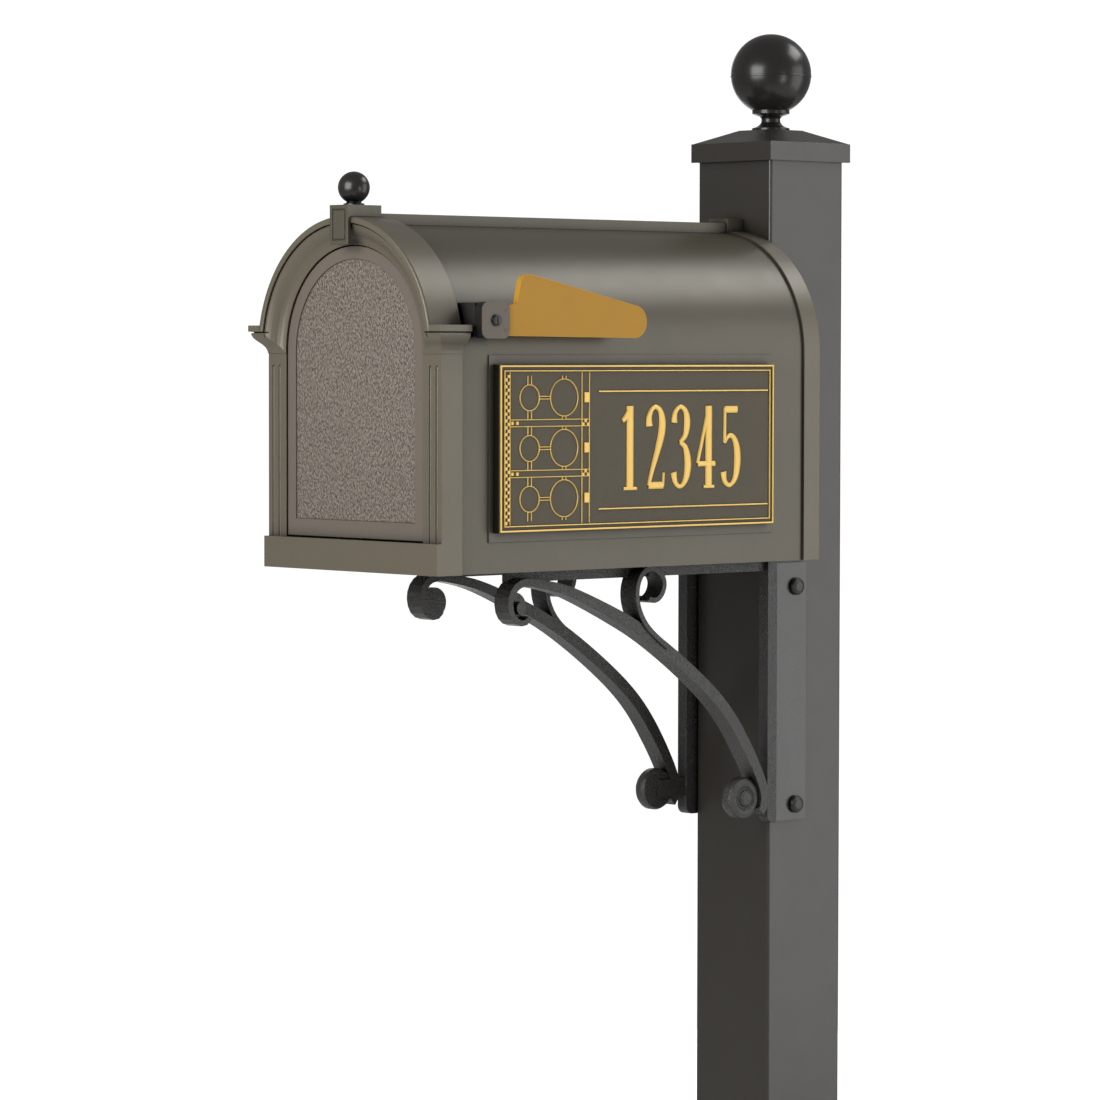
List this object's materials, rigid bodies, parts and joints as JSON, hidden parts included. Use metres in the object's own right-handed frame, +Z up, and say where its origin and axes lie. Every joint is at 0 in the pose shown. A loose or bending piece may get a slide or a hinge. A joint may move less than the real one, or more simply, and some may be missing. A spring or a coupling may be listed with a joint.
{
  "type": "post-mounted curbside mailbox",
  "caption": "Round-topped curbside mailbox on a square post, with a drop-down door, turning side flag, number plaque and scroll brackets.",
  "frame": {"origin": "centre of the post's foot at ground level", "axes": "+Z up along the post; the door faces -Y; the flag and the number plaque are on the +X side"},
  "size_m": [0.2848, 0.614, 1.5834],
  "materials": {
    "post_paint": "satin dark bronze paint on aluminium",
    "body_paint": "satin dark bronze paint on aluminium",
    "door_paint": "satin dark bronze paint, fine hammered texture in the field",
    "cast_paint": "semi-gloss dark bronze paint on a sand casting",
    "gloss_bronze": "glossy dark bronze paint",
    "flag_gold": "satin old-gold paint",
    "plaque_bronze": "fine stippled dark bronze paint",
    "relief_gold": "satin gold paint on raised faces",
    "dark_hardware": "painted over",
    "steel": "zinc plated",
    "black_plastic": "matte black",
    "nylon": "natural nylon",
    "magnet": "bare ferrite"
  },
  "bodies": {
    "mailbox": {"post_tube": "post_paint", "post_cap": "post_paint", "cap_screws": "dark_hardware", "finial_neck": "gloss_bronze", "finial_ball": "gloss_bronze", "finial_rod": "steel", "finial_nut": "steel", "bracket_right": "cast_paint", "bracket_left": "cast_paint", "bracket_bolts": "dark_hardware", "bracket_washers": "steel", "bracket_nuts": "steel", "floor_bolts": "steel", "floor_nuts": "steel", "body_shell": "body_paint", "floor_pan": "body_paint", "ridge_strip": "body_paint", "ridge_screws": "steel", "rear_frame": "body_paint", "rear_panel": "body_paint", "rear_screws": "dark_hardware", "rear_keystone": "body_paint", "front_frame": "body_paint", "frame_screws": "steel", "front_keystone": "body_paint", "keystone_screws": "steel", "small_finial": "gloss_bronze", "catch_holder": "black_plastic", "catch_magnet": "magnet", "catch_screws": "steel", "flag_boss": "body_paint", "flag_washer": "nylon", "flag_bolt": "dark_hardware", "flag_nut": "steel", "number_plaque": "plaque_bronze", "plaque_border": "relief_gold", "plaque_ornament": "relief_gold", "plaque_numerals": "relief_gold", "plaque_studs": "steel", "plaque_nuts": "steel"},
    "door": {"door": "door_paint", "hinge_pins": "steel", "door_strike": "steel", "strike_rivets": "steel"},
    "flag": {"flag_hub": "body_paint", "flag_arm": "flag_gold", "flag_pins": "steel"}
  },
  "joints": [
    {"name": "door_hinge", "type": "hinge", "parent": "mailbox", "child": "door", "pos_m": [0, -0.53375, 1.103], "axis": [1, 0, 0], "range_deg": [0, 100]},
    {"name": "flag_pivot", "type": "hinge", "parent": "mailbox", "child": "flag", "pos_m": [0.1397, -0.4932, 1.2965], "axis": [1, 0, 0], "range_deg": [0, 90]}
  ]
}
